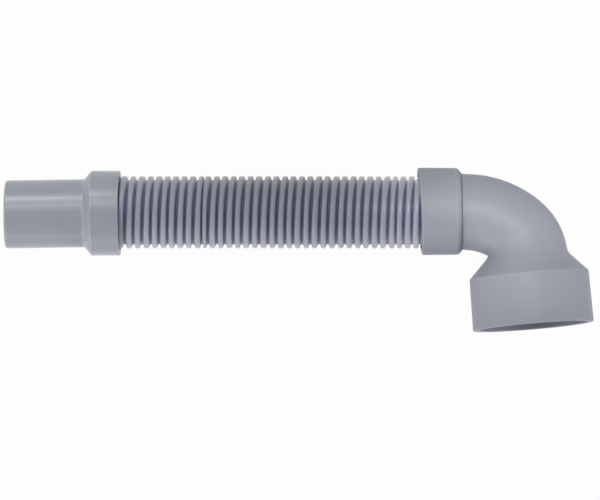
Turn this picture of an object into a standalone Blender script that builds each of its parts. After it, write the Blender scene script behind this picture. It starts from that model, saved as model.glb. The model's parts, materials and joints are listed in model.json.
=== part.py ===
"""A flexible drain hose: a spigot cuff, a helically ribbed hose and an elbow with a pipe socket.

Sizes are in metres. The hose is drawn along +X with the spigot's end at x = 0, and the elbow turns
down towards -Y. A parent empty then rolls the whole assembly to the pose in which it lies on a floor.
"""

from math import asin, atan, ceil, cos, degrees, pi, radians, sin, sqrt, tan

import bmesh
import bpy
import numpy as np
from mathutils import Matrix, Vector

# Hose: one rib wound round a thin wall
RIB_PITCH = 0.00397
RIB_OUTER_RADIUS = 0.0170
RIB_HEIGHT = 0.0019
RIB_TOP_WIDTH = 0.0016
RIB_TOP_WALL = 0.0016
GROOVE_FLOOR_WIDTH = 0.0010
GROOVE_WALL = 0.0009
EXPOSED_HOSE_LENGTH = 0.1413
HOSE_SEGMENTS = 20

# Fit between the hose and the two collars that it is glued into
GLUE_GAP = 0.0003

# Spigot cuff, from its free end
SPIGOT_RADIUS = 0.0160
SPIGOT_LENGTH = 0.0373
SPIGOT_WALL = 0.0026
SPIGOT_END_CHAMFER = 0.0007
CUFF_CONE_LENGTH = 0.0034
CUFF_COLLAR_WALL = 0.00265
CUFF_COLLAR_LENGTH = 0.0133
CUFF_SOCKET_DEPTH = 0.0120
CUFF_EDGE_ROUNDING = 0.0004

# Elbow: collar, bend, flare and pipe socket
ELBOW_COLLAR_WALL = 0.00325
ELBOW_COLLAR_LENGTH = 0.0195
ELBOW_COLLAR_DRAFT = radians(0.5)
ELBOW_COLLAR_DEPTH = 0.0150
ELBOW_COLLAR_LIP_ROUNDING = 0.0009
ELBOW_COLLAR_BACK_ROUNDING = 0.0028
TUBE_RADIUS = 0.0179
TUBE_WALL = 0.0029
BEND_LEAD = 0.0030
BEND_RADIUS = 0.03035
BEND_ANGLE = radians(85)
BEND_FULLNESS = 0.0015
BEND_FULLNESS_DELAY = 1.66
SOCKET_BORE_RADIUS = 0.0251
SOCKET_WALL = 0.0030
SOCKET_LENGTH = 0.0242
SOCKET_DRAFT = radians(1.0)
SOCKET_STOP_WIDTH = 0.0020
SOCKET_LIP_ROUNDING = 0.0006
SHOULDER_BEYOND_BEND = 0.0018
SOCKET_AXIS_INSET = 0.00135
FLARE_ANGLE = radians(44)
FLARE_ROOT_OVERLAP = 0.0009

FITTING_SEGMENTS = 48
BEND_STEPS = 12
BEND_BEVEL_RESOLUTION = 8

SPIGOT_GREY = (0.29, 0.33, 0.38, 1.0)
HOSE_GREY = (0.25, 0.28, 0.33, 1.0)
ELBOW_GREY = (0.30, 0.32, 0.38, 1.0)

# Places along the hose's axis, and radii, that follow from the sizes
CUFF_COLLAR_START = SPIGOT_LENGTH + CUFF_CONE_LENGTH
CUFF_COLLAR_END = CUFF_COLLAR_START + CUFF_COLLAR_LENGTH
CUFF_SOCKET_FLOOR = CUFF_COLLAR_END - CUFF_SOCKET_DEPTH
ELBOW_COLLAR_START = CUFF_COLLAR_END + EXPOSED_HOSE_LENGTH
ELBOW_COLLAR_END = ELBOW_COLLAR_START + ELBOW_COLLAR_LENGTH
ELBOW_SOCKET_FLOOR = ELBOW_COLLAR_START + ELBOW_COLLAR_DEPTH
BEND_START = ELBOW_COLLAR_END + BEND_LEAD
GROOVE_RADIUS = RIB_OUTER_RADIUS - RIB_HEIGHT
BORE_RADIUS = GROOVE_RADIUS - GROOVE_WALL
BORE_WAVE_RADIUS = RIB_OUTER_RADIUS - RIB_TOP_WALL
COLLAR_BORE_RADIUS = RIB_OUTER_RADIUS + GLUE_GAP
CUFF_COLLAR_RADIUS = COLLAR_BORE_RADIUS + CUFF_COLLAR_WALL
ELBOW_COLLAR_RADIUS = COLLAR_BORE_RADIUS + ELBOW_COLLAR_WALL
HOSE_START = CUFF_SOCKET_FLOOR + GLUE_GAP
HOSE_END = ELBOW_SOCKET_FLOOR - GLUE_GAP
TUBE_BORE_RADIUS = TUBE_RADIUS - TUBE_WALL
SHOULDER_RADIUS = SOCKET_BORE_RADIUS + SOCKET_WALL

# How far cutters run past what they cut, and how close points must be to become one
CUT_MARGIN = 0.004
SPARE_TURNS = 1.5
WELD_DISTANCE = 0.000001


def clear_scene():
    for old in list(bpy.data.objects):
        bpy.data.objects.remove(old, do_unlink=True)


def new_collection(name):
    collection = bpy.data.collections.new(name)
    bpy.context.scene.collection.children.link(collection)
    return collection


def plastic(name, colour, roughness):
    """One Principled material without metal."""
    material = bpy.data.materials.new(name)
    material.use_nodes = True
    shader = material.node_tree.nodes["Principled BSDF"]
    shader.inputs["Base Color"].default_value = colour
    shader.inputs["Roughness"].default_value = roughness
    shader.inputs["Metallic"].default_value = 0.0
    return material


def arc(centre, radius, start, end, steps):
    """Points of a circular arc in a profile, from one angle to another in degrees."""
    angles = np.radians(np.linspace(start, end, steps + 1))
    return [(centre[0] + radius * cos(a), centre[1] + radius * sin(a)) for a in angles]


def profile_object(name, points, closed, collection, placement):
    """A profile of (radius, height) points in the XZ plane of an object."""
    mesh = bpy.data.meshes.new(name)
    outline = bmesh.new()
    corners = [outline.verts.new((radius, 0.0, height)) for radius, height in points]
    for first, second in zip(corners, corners[1:]):
        outline.edges.new((first, second))
    if closed:
        outline.edges.new((corners[-1], corners[0]))
    outline.to_mesh(mesh)
    outline.free()
    piece = bpy.data.objects.new(name, mesh)
    piece.matrix_local = placement
    collection.objects.link(piece)
    return piece


def turned(name, points, closed, collection, placement, segments=FITTING_SEGMENTS):
    """A profile turned once round its own Z axis."""
    piece = profile_object(name, points, closed, collection, placement)
    turn = piece.modifiers.new("turn", "SCREW")
    turn.steps = segments
    turn.render_steps = segments
    turn.use_merge_vertices = True
    turn.merge_threshold = WELD_DISTANCE
    turn.use_smooth_shade = True
    return piece


def evaluated_mesh(piece):
    """The piece's mesh with its modifiers applied, as a new mesh."""
    bpy.context.view_layer.update()
    graph = bpy.context.evaluated_depsgraph_get()
    return bpy.data.meshes.new_from_object(piece.evaluated_get(graph))


def winding(name, points, start, end, collection):
    """A solid rod along X whose skin is one pitch of profile wound into a left-hand helix.

    The ends of the winding are ramps, so it has spare turns past each end for trimming.
    """
    turns = ceil((end - start) / RIB_PITCH + 2 * SPARE_TURNS)
    placement = along_hose(start + (turns - SPARE_TURNS) * RIB_PITCH)
    piece = profile_object(name, points, False, collection, placement)
    wind = piece.modifiers.new("wind", "SCREW")
    wind.steps = HOSE_SEGMENTS
    wind.render_steps = HOSE_SEGMENTS
    wind.iterations = turns
    wind.screw_offset = -RIB_PITCH
    rod = evaluated_mesh(piece)
    piece.modifiers.clear()
    skin = bmesh.new()
    skin.from_mesh(rod)
    bmesh.ops.remove_doubles(skin, verts=skin.verts, dist=WELD_DISTANCE)
    open_edges = [edge for edge in skin.edges if edge.is_boundary]
    ramps = bmesh.ops.holes_fill(skin, edges=open_edges, sides=0)["faces"]
    bmesh.ops.poke(skin, faces=ramps)
    bmesh.ops.recalc_face_normals(skin, faces=skin.faces)
    skin.to_mesh(rod)
    skin.free()
    piece.data = rod
    return piece


def along_hose(x):
    """The placement of a turned shape whose Z axis lies along the hose, with its zero at x."""
    return Matrix.Translation((x, 0.0, 0.0)) @ Matrix.Rotation(pi / 2, 4, "Y")


def boolean(piece, other, operation):
    step = piece.modifiers.new(f"{operation.lower()} {other.name}", "BOOLEAN")
    step.operation = operation
    step.solver = "EXACT"
    step.object = other


def tube_along(name, points, radius, collection):
    """A round bar along a list of points, as a mesh that can be cut."""
    line = bpy.data.curves.new(name, "CURVE")
    line.dimensions = "3D"
    line.bevel_depth = radius
    line.bevel_resolution = BEND_BEVEL_RESOLUTION
    line.use_fill_caps = True
    spline = line.splines.new("POLY")
    spline.points.add(len(points) - 1)
    for corner, place in zip(spline.points, points):
        corner.co = (*place, 1.0)
    wire = bpy.data.objects.new(name + "_line", line)
    collection.objects.link(wire)
    mesh = evaluated_mesh(wire)
    shell = bmesh.new()
    shell.from_mesh(mesh)
    bmesh.ops.remove_doubles(shell, verts=shell.verts, dist=WELD_DISTANCE)
    bmesh.ops.recalc_face_normals(shell, faces=shell.faces)
    shell.to_mesh(mesh)
    shell.free()
    piece = bpy.data.objects.new(name, mesh)
    piece.matrix_world = wire.matrix_world
    collection.objects.link(piece)
    bpy.data.objects.remove(wire)
    return piece


def bend_end():
    """The centre of the tube where the bend stops."""
    return Vector((
        BEND_START + BEND_RADIUS * sin(BEND_ANGLE),
        -BEND_RADIUS * (1.0 - cos(BEND_ANGLE)),
        0.0,
    ))


def outlet_direction():
    return Vector((cos(BEND_ANGLE), -sin(BEND_ANGLE), 0.0))


def outlet_placement():
    """The placement of a turned shape whose Z axis is the socket's, pointing out of the mouth, with
    its zero at the shoulder where the flare meets the socket."""
    outward = outlet_direction()
    inner_side = Vector((-sin(BEND_ANGLE), -cos(BEND_ANGLE), 0.0))
    centre = bend_end() + outward * SHOULDER_BEYOND_BEND + inner_side * SOCKET_AXIS_INSET
    turn = Matrix((
        (inner_side.x, 0.0, outward.x),
        (inner_side.y, 0.0, outward.y),
        (0.0, -1.0, 0.0),
    ))
    return Matrix.Translation(centre) @ turn.to_4x4()


def bend_route(run_in, run_out):
    """The tube's centre line: straight for run_in, round the bend, then straight for run_out.

    The bend is an arc that swings out past its middle, where it runs into the flare.
    """
    route = [Vector((BEND_START - run_in, 0.0, 0.0))]
    for step in range(BEND_STEPS + 1):
        share = step / BEND_STEPS
        angle = BEND_ANGLE * share
        reach = BEND_RADIUS + BEND_FULLNESS * sin(pi * share ** BEND_FULLNESS_DELAY) ** 2
        route.append(Vector((
            BEND_START + reach * sin(angle),
            reach * cos(angle) - BEND_RADIUS,
            0.0,
        )))
    route.append(bend_end() + outlet_direction() * run_out)
    return route


def make_spigot_cuff(collection):
    """Spigot, cone and collar as one turned ring. Profile heights are places along the hose."""
    spigot_bore = SPIGOT_RADIUS - SPIGOT_WALL
    edge = CUFF_EDGE_ROUNDING
    points = [
        (COLLAR_BORE_RADIUS, CUFF_COLLAR_END),
        *arc((CUFF_COLLAR_RADIUS - edge, CUFF_COLLAR_END - edge), edge, 90, 0, 2),
        (CUFF_COLLAR_RADIUS, CUFF_COLLAR_START),
        (SPIGOT_RADIUS, SPIGOT_LENGTH),
        (SPIGOT_RADIUS, SPIGOT_END_CHAMFER),
        (SPIGOT_RADIUS - SPIGOT_END_CHAMFER, 0.0),
        (spigot_bore, 0.0),
        (spigot_bore, CUFF_SOCKET_FLOOR),
        (COLLAR_BORE_RADIUS, CUFF_SOCKET_FLOOR),
    ]
    return turned("spigot_cuff", points, True, collection, along_hose(0.0))


def make_corrugated_hose(collection, cutters):
    """The ribbed rod, trimmed to the hose's length and bored with the matching inner wave."""
    flank = (RIB_PITCH - RIB_TOP_WIDTH - GROOVE_FLOOR_WIDTH) / 2
    rib = [
        (GROOVE_RADIUS, RIB_PITCH),
        (GROOVE_RADIUS, RIB_PITCH - GROOVE_FLOOR_WIDTH),
        (RIB_OUTER_RADIUS, RIB_PITCH - GROOVE_FLOOR_WIDTH - flank),
        (RIB_OUTER_RADIUS, flank),
        (GROOVE_RADIUS, 0.0),
    ]
    rib_middle = flank + RIB_TOP_WIDTH / 2
    wave = [
        (BORE_RADIUS, rib_middle + RIB_PITCH / 2),
        (BORE_WAVE_RADIUS, rib_middle),
        (BORE_RADIUS, rib_middle - RIB_PITCH / 2),
    ]
    hose = winding("corrugated_hose", rib, HOSE_START, HOSE_END, collection)
    bore = winding("hose_bore", wave, HOSE_START, HOSE_END, cutters)
    block = turned(
        "hose_length",
        [
            (0.0, HOSE_END),
            (RIB_OUTER_RADIUS + CUT_MARGIN, HOSE_END),
            (RIB_OUTER_RADIUS + CUT_MARGIN, HOSE_START),
            (0.0, HOSE_START),
        ],
        False, cutters, along_hose(0.0), HOSE_SEGMENTS,
    )
    boolean(hose, block, "INTERSECT")
    boolean(hose, bore, "DIFFERENCE")
    return hose


def elbow_collar_profile():
    """A solid collar with a rounded lip and a large rounding at the bend's side."""
    lip = ELBOW_COLLAR_LIP_ROUNDING
    back = ELBOW_COLLAR_BACK_ROUNDING
    back_radius = ELBOW_COLLAR_RADIUS - ELBOW_COLLAR_LENGTH * tan(ELBOW_COLLAR_DRAFT)
    return [
        (0.0, ELBOW_COLLAR_END),
        *arc((back_radius - back, ELBOW_COLLAR_END - back), back, 90, 0, 4),
        *arc((ELBOW_COLLAR_RADIUS - lip, ELBOW_COLLAR_START + lip), lip, 0, -90, 3),
        (0.0, ELBOW_COLLAR_START),
    ]


def make_elbow_socket(collection, cutters):
    """Collar, bend, flare and socket joined, then bored from both ends."""
    elbow = turned("elbow_socket", elbow_collar_profile(), False, collection, along_hose(0.0))

    tube = tube_along(
        "bend_body",
        bend_route(BEND_LEAD + ELBOW_COLLAR_LENGTH / 2, SHOULDER_BEYOND_BEND / 2),
        TUBE_RADIUS, cutters,
    )

    mouth_radius = SHOULDER_RADIUS + SOCKET_LENGTH * tan(SOCKET_DRAFT)
    root_radius = TUBE_RADIUS - FLARE_ROOT_OVERLAP
    flare_length = (SHOULDER_RADIUS - root_radius) / tan(FLARE_ANGLE)
    lip = SOCKET_LIP_ROUNDING
    flare = turned(
        "flare_and_socket_body",
        [
            (0.0, SOCKET_LENGTH),
            *arc((mouth_radius - lip, SOCKET_LENGTH - lip), lip, 90, 0, 2),
            (SHOULDER_RADIUS, 0.0),
            (root_radius, -flare_length),
            (0.0, -flare_length),
        ],
        False, cutters, outlet_placement(),
    )

    collar_bore = turned(
        "elbow_collar_bore",
        [
            (0.0, ELBOW_SOCKET_FLOOR),
            (COLLAR_BORE_RADIUS, ELBOW_SOCKET_FLOOR),
            (COLLAR_BORE_RADIUS, ELBOW_COLLAR_START - CUT_MARGIN),
            (0.0, ELBOW_COLLAR_START - CUT_MARGIN),
        ],
        False, cutters, along_hose(0.0),
    )

    run_in = BEND_START - ELBOW_SOCKET_FLOOR + CUT_MARGIN
    tube_bore = tube_along(
        "bend_bore", bend_route(run_in, SHOULDER_BEYOND_BEND), TUBE_BORE_RADIUS, cutters
    )

    bore_slope = tan(SOCKET_DRAFT)
    throat_radius = SOCKET_BORE_RADIUS - SOCKET_STOP_WIDTH
    narrow_radius = TUBE_BORE_RADIUS - FLARE_ROOT_OVERLAP
    throat_length = (throat_radius - narrow_radius) / tan(FLARE_ANGLE)
    socket_bore = turned(
        "socket_bore",
        [
            (0.0, SOCKET_LENGTH + CUT_MARGIN),
            (SOCKET_BORE_RADIUS + (SOCKET_LENGTH + CUT_MARGIN) * bore_slope, SOCKET_LENGTH + CUT_MARGIN),
            (SOCKET_BORE_RADIUS, 0.0),
            (throat_radius, 0.0),
            (narrow_radius, -throat_length),
            (0.0, -throat_length),
        ],
        False, cutters, outlet_placement(),
    )

    boolean(elbow, tube, "UNION")
    boolean(elbow, flare, "UNION")
    boolean(elbow, collar_bore, "DIFFERENCE")
    boolean(elbow, tube_bore, "DIFFERENCE")
    boolean(elbow, socket_bore, "DIFFERENCE")
    return elbow


def resting_turn():
    """How the assembly turns to lie on a floor: it rolls about the hose until the elbow's collar and
    the socket's shoulder both touch, and pitches until the smaller cuff collar touches too."""
    height = ELBOW_COLLAR_RADIUS
    shoulder = outlet_placement().translation
    reach = -shoulder.y
    lean = sin(BEND_ANGLE)
    square = reach ** 2 + (SHOULDER_RADIUS * lean) ** 2
    root = sqrt((height * reach) ** 2 + square * (SHOULDER_RADIUS ** 2 - height ** 2))
    roll = asin((root - height * reach) / square)
    span = ELBOW_COLLAR_START - CUFF_COLLAR_END
    pitch = atan((ELBOW_COLLAR_RADIUS - CUFF_COLLAR_RADIUS) / span)
    return Matrix.Rotation(-pitch, 4, "Y") @ Matrix.Rotation(-roll, 4, "X")


def world_points(piece):
    mesh = evaluated_mesh(piece)
    points = np.empty(len(mesh.vertices) * 3)
    mesh.vertices.foreach_get("co", points)
    bpy.data.meshes.remove(mesh)
    matrix = np.array(piece.matrix_world)
    return points.reshape(-1, 3) @ matrix[:3, :3].T + matrix[:3, 3]


def lay_down(pieces, helpers):
    """Parents everything to one empty and sets it so that the pieces lie on z = 0, centred on the
    origin."""
    rest = bpy.data.objects.new("resting_pose", None)
    bpy.context.scene.collection.objects.link(rest)
    for piece in pieces + helpers:
        piece.parent = rest
    rest.matrix_world = resting_turn()
    bpy.context.view_layer.update()
    points = np.vstack([world_points(piece) for piece in pieces])
    low = points.min(axis=0)
    high = points.max(axis=0)
    rest.location = (-(low[0] + high[0]) / 2, -(low[1] + high[1]) / 2, -low[2])
    bpy.context.view_layer.update()
    return rest


def main():
    clear_scene()
    collection = new_collection("flexible_drain_hose")
    cutters = new_collection("cutters")
    cuff = make_spigot_cuff(collection)
    hose = make_corrugated_hose(collection, cutters)
    elbow = make_elbow_socket(collection, cutters)
    for piece, colour, roughness in (
        (cuff, SPIGOT_GREY, 0.45),
        (hose, HOSE_GREY, 0.40),
        (elbow, ELBOW_GREY, 0.45),
    ):
        piece.data.materials.append(plastic(piece.name + "_plastic", colour, roughness))
    for cutter in cutters.objects:
        cutter.hide_render = True
        cutter.display_type = "WIRE"
    rest = lay_down([cuff, hose, elbow], list(cutters.objects))
    print("resting turn in degrees:", [round(degrees(a), 2) for a in rest.rotation_euler])
    for piece in (cuff, hose, elbow):
        piece.data.shade_smooth()


main()
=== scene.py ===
"""The look of a flexible drain hose: a spigot cuff, a ribbed hose and an elbow with a pipe socket.

Every surface is worked out in the hose's own axes: X along the hose from the spigot's end, Y across it
away from the socket, Z square to the elbow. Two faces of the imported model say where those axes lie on
the floor. Lengths are in metres and angles in radians, unless a name says otherwise.
"""

import json
import logging
from dataclasses import dataclass
from enum import Enum
from math import cos, pi, radians, sin, tan
from typing import ClassVar

import bmesh
import bpy
import numpy as np
from mathutils import Matrix, Vector


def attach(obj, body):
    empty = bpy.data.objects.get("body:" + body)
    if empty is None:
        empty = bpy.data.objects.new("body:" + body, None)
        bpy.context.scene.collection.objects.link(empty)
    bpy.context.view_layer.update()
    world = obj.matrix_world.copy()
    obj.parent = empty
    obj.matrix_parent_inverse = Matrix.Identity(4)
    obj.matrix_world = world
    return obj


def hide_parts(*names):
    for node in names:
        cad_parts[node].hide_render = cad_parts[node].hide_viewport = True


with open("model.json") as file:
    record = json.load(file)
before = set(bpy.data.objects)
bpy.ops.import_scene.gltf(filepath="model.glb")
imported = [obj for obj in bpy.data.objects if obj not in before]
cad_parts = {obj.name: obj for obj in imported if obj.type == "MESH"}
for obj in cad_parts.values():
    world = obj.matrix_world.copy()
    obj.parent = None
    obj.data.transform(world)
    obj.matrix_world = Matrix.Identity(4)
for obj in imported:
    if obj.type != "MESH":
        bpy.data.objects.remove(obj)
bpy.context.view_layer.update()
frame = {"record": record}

log = logging.getLogger("drain_hose")

MM = 0.001
FULL_TURN = 2.0 * pi
BODY = "root"


class Slot(Enum):
    """The record's material slots, one for each moulded or extruded piece."""

    SPIGOT = "spigot_plastic"
    HOSE = "hose_plastic"
    ELBOW = "elbow_plastic"


@dataclass(frozen=True)
class HoseAxes:
    """Where the hose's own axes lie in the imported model.

    Attributes:
        origin: The centre of the spigot's end face.
        turn: A 3 by 3 array whose columns are the hose's X, Y and Z.
    """

    origin: np.ndarray
    turn: np.ndarray

    @classmethod
    def from_mounts(cls, mounts: list[dict], face_radius: float) -> "HoseAxes":
        """Reads the axes from the two end faces that the record states.

        X runs against the spigot face's normal. Y is the part of the socket's direction square to X,
        reversed. The stated point of the spigot face lies face_radius from its centre along Y.

        Args:
            mounts: The record's mounts.
            face_radius: How far that point is from the hose's centre line.

        Returns:
            The axes.
        """
        found = {mount["name"]: mount for mount in mounts}
        along = -np.array(found["spigot_end"]["axis"], float)
        along /= np.linalg.norm(along)
        outlet = np.array(found["socket_mouth"]["axis"], float)
        across = -(outlet - outlet @ along * along)
        across /= np.linalg.norm(across)
        turn = np.column_stack((along, across, np.cross(along, across)))
        origin = np.array(found["spigot_end"]["pos_m"], float) - face_radius * across
        return cls(origin, turn)

    def place(self, points: np.ndarray) -> np.ndarray:
        """Points of the hose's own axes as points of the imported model."""
        return points @ self.turn.T + self.origin

    def direction(self, vector: tuple[float, float, float]) -> Vector:
        """A direction of the hose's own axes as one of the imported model."""
        return Vector(self.turn @ np.array(vector, float))

    def to_model(self) -> Matrix:
        """The move from the hose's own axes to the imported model."""
        return Matrix.Translation(self.origin) @ Matrix(self.turn).to_4x4()


@dataclass(frozen=True)
class Corner:
    """One corner of a profile: its place along the axis, its radius from it, and its rounding."""

    along: float
    radius: float
    rounding: float = 0.0


def rounded_profile(
    corners: list[Corner], steps: int = 6, keep: float = 0.4 * MM, room: float = 3.0
) -> np.ndarray:
    """A closed profile with its corners turned into arcs.

    An arc of radius r fits a corner whose sides meet at an angle a when it starts and ends
    r / tan(a / 2) from the corner. Where a side has room, a point is kept on it close to the arc's
    end, so that smooth shading stays level along the side.

    Args:
        corners: The corners in order round the profile.
        steps: The number of chords in an arc.
        keep: How far from an arc the kept points lie.
        room: How many times the way to a kept point a side must measure to get one.

    Returns:
        An array of rows (along, radius, edge), where edge is 1 on an arc and 0 elsewhere.
    """
    places = np.array([(corner.along, corner.radius) for corner in corners])
    parts: list[np.ndarray] = []
    for index, corner in enumerate(corners):
        here = places[index]
        if corner.rounding == 0.0:
            parts.append(np.array([(*here, 0.0)]))
            continue
        before = places[index - 1] - here
        after = places[(index + 1) % len(corners)] - here
        length_before, length_after = np.linalg.norm(before), np.linalg.norm(after)
        before, after = before / length_before, after / length_after
        half = np.arccos(np.clip(before @ after, -1.0, 1.0)) / 2
        set_back = corner.rounding / np.tan(half)
        kept_at = set_back + keep
        middle = before + after
        centre = here + middle / np.linalg.norm(middle) * corner.rounding / np.sin(half)
        start, end = here + before * set_back - centre, here + after * set_back - centre
        sweep = np.arctan2(start[0] * end[1] - start[1] * end[0], start @ end)
        turn = np.linspace(0.0, sweep, steps + 1)
        arc = np.column_stack((
            centre[0] + start[0] * np.cos(turn) - start[1] * np.sin(turn),
            centre[1] + start[0] * np.sin(turn) + start[1] * np.cos(turn),
            np.ones(steps + 1),
        ))
        if length_before > room * kept_at:
            parts.append(np.array([(*(here + before * kept_at), 0.0)]))
        parts.append(arc)
        if length_after > room * kept_at:
            parts.append(np.array([(*(here + after * kept_at), 0.0)]))
    return np.vstack(parts)


def rings_from_profile(profile: np.ndarray, around: int) -> np.ndarray:
    """A profile turned about X: point (x, r) at angle t becomes (x, r cos t, r sin t).

    Args:
        profile: Rows whose first two values are the place along X and the radius.
        around: The number of points in a ring.

    Returns:
        An array of rings, each of points in the hose's axes.
    """
    angle = np.arange(around) * FULL_TURN / around
    along = np.repeat(profile[:, :1], around, axis=1)
    across = profile[:, 1:2] * np.cos(angle)
    up = profile[:, 1:2] * np.sin(angle)
    return np.stack((along, across, up), axis=2)


def lattice_faces(rows: int, columns: int) -> np.ndarray:
    """Quads of a lattice of rings that closes both round each ring and from the last ring to the first.

    Args:
        rows: The number of rings.
        columns: The number of points in a ring.

    Returns:
        An array of four point numbers for each quad.
    """
    row = np.arange(rows)[:, None]
    column = np.arange(columns)[None, :]
    next_row, next_column = (row + 1) % rows, (column + 1) % columns
    corners = (
        row * columns + column,
        next_row * columns + column,
        next_row * columns + next_column,
        row * columns + next_column,
    )
    return np.stack(corners, axis=2).reshape(-1, 4)


def enclosed_volume(points: np.ndarray, faces: np.ndarray) -> float:
    """The volume inside closed quads: a sixth of the sum of a . (b x c) over their triangles.

    Args:
        points: The points.
        faces: Four point numbers for each quad.

    Returns:
        The volume, which is below 0 where the quads face inwards.
    """
    first, second, third, fourth = (points[faces[:, corner]] for corner in range(4))
    volume = np.einsum("ij,ij->i", first, np.cross(second, third)).sum()
    volume += np.einsum("ij,ij->i", first, np.cross(third, fourth)).sum()
    return float(volume) / 6.0


def mesh_with_mask(
    name: str, points: np.ndarray, faces: np.ndarray, mask: str, values: np.ndarray
) -> bpy.types.Mesh:
    """A smooth mesh with one mask that its material reads.

    Args:
        name: The mesh's name.
        points: Its points.
        faces: Four point numbers for each face.
        mask: The name of the mask, "edge" or "depth".
        values: The mask's value at each point, from 0 to 1.

    Returns:
        The mesh.
    """
    mesh = bpy.data.meshes.new(name)
    mesh.from_pydata(points.tolist(), [], faces.tolist())
    mesh.attributes.new(mask, "FLOAT", "POINT").data.foreach_set("value", values.astype(np.float32))
    mesh.shade_smooth()
    mesh.update()
    return mesh


def linked_object(name: str, mesh: bpy.types.Mesh) -> bpy.types.Object:
    """An object at the origin that shows the mesh.

    Args:
        name: The object's name.
        mesh: The mesh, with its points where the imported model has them.

    Returns:
        The object.
    """
    piece = bpy.data.objects.new(name, mesh)
    bpy.context.scene.collection.objects.link(piece)
    return piece


def closed_piece(
    name: str, rings: np.ndarray, edge: np.ndarray, axes: HoseAxes
) -> bpy.types.Object:
    """A closed piece from rings that run along its outside and back along its inside.

    Args:
        name: The piece's name.
        rings: The rings in the hose's axes.
        edge: For each ring, how much of an edge it is.
        axes: Where the hose's axes lie.

    Returns:
        The object, with its faces pointing out.
    """
    rows, columns = rings.shape[:2]
    points = axes.place(rings.reshape(-1, 3))
    faces = lattice_faces(rows, columns)
    if enclosed_volume(points - points.mean(axis=0), faces) < 0.0:
        faces = faces[:, ::-1]
    mesh = mesh_with_mask(name, points, faces, "edge", np.repeat(edge, columns))
    return linked_object(name, mesh)


@dataclass(frozen=True)
class ShaderKit:
    """Builds nodes in a material or a group with little ceremony.

    Attributes:
        tree: The tree that nodes are added to.
    """

    tree: bpy.types.NodeTree

    def node(self, kind: str, **settings: object) -> bpy.types.Node:
        """Adds a node and sets its options.

        Args:
            kind: The node's type.
            **settings: Its options by name.

        Returns:
            The node.
        """
        made = self.tree.nodes.new(kind)
        for option, value in settings.items():
            setattr(made, option, value)
        return made

    def link(self, source: bpy.types.NodeSocket, target: bpy.types.NodeSocket) -> None:
        """Joins an output to an input."""
        self.tree.links.new(source, target)

    def feed(self, value: object, target: bpy.types.NodeSocket) -> None:
        """Links a socket to an input, or sets the input to a value.

        Args:
            value: A socket, a number, a colour or a vector.
            target: The input.
        """
        if isinstance(value, bpy.types.NodeSocket):
            self.link(value, target)
        else:
            target.default_value = value

    def group(self, tree: bpy.types.NodeTree, **inputs: object) -> bpy.types.Node:
        """Places a shared group.

        Args:
            tree: The group.
            **inputs: A value or a socket for each input, under its label in lower case with an
                underscore for each space.

        Returns:
            The group's node.
        """
        placed = self.node("ShaderNodeGroup", node_tree=tree)
        for name, value in inputs.items():
            self.feed(value, placed.inputs[name.replace("_", " ").capitalize()])
        return placed

    def vector(
        self, operation: str, first: object, second: object = (0.0, 0.0, 0.0)
    ) -> bpy.types.Node:
        """A Vector Math node on two sockets or vectors, where SCALE takes a number as its second.

        Args:
            operation: The node's operation.
            first: A socket or a vector.
            second: A socket, a vector or a number.

        Returns:
            The node.
        """
        step = self.node("ShaderNodeVectorMath", operation=operation)
        self.feed(first, step.inputs[0])
        self.feed(second, step.inputs["Scale"] if operation == "SCALE" else step.inputs[1])
        return step

    def math(self, operation: str, first: object, second: object = 0.0) -> bpy.types.NodeSocket:
        """A Math node on two sockets or numbers.

        Args:
            operation: The node's operation.
            first: A socket or a number.
            second: A socket or a number.

        Returns:
            The node's output.
        """
        step = self.node("ShaderNodeMath", operation=operation)
        self.feed(first, step.inputs[0])
        self.feed(second, step.inputs[1])
        return step.outputs[0]

    def noise(
        self, vector: bpy.types.NodeSocket, scale: object, detail: float, rough: float = 0.5
    ) -> bpy.types.NodeSocket:
        """A Noise texture's value, from 0 to 1.

        Args:
            vector: The socket with the coordinates.
            scale: The scale, as a number or a socket.
            detail: The number of finer layers.
            rough: How strong each finer layer is.

        Returns:
            The node's value output.
        """
        texture = self.node("ShaderNodeTexNoise")
        texture.inputs["Detail"].default_value = detail
        texture.inputs["Roughness"].default_value = rough
        self.feed(scale, texture.inputs["Scale"])
        self.link(vector, texture.inputs["Vector"])
        return texture.outputs["Fac"]

    def mask(self, name: str) -> bpy.types.NodeSocket:
        """A mask of the mesh, which is 0 on a mesh that hasn't got it."""
        return self.node("ShaderNodeAttribute", attribute_name=name).outputs["Fac"]

    def seen(self) -> bpy.types.NodeSocket:
        """Tells what the camera sees, also through a reflection or a clear piece.

        Returns:
            A socket that is 1 for such rays and 0 for others.
        """
        path = self.node("ShaderNodeLightPath")
        seen = self.math("MAXIMUM", path.outputs["Is Camera Ray"], path.outputs["Is Glossy Ray"])
        return self.math("MAXIMUM", seen, path.outputs["Is Transmission Ray"])


def new_group(
    name: str, inputs: dict[str, object], outputs: dict[str, str]
) -> tuple[bpy.types.NodeTree, ShaderKit]:
    """An empty shader group.

    Args:
        name: The group's name.
        inputs: For each input, a default value: a number, a colour or None for a vector.
        outputs: For each output, its socket type.

    Returns:
        The group and a kit that builds in it.
    """
    group = bpy.data.node_groups.new(name, "ShaderNodeTree")
    for label, default in inputs.items():
        if default is None:
            group.interface.new_socket(label, in_out="INPUT", socket_type="NodeSocketVector")
            continue
        kind = "NodeSocketColor" if isinstance(default, tuple) else "NodeSocketFloat"
        socket = group.interface.new_socket(label, in_out="INPUT", socket_type=kind)
        socket.default_value = default
    for label, kind in outputs.items():
        group.interface.new_socket(label, in_out="OUTPUT", socket_type=kind)
    return group, ShaderKit(group)


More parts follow.
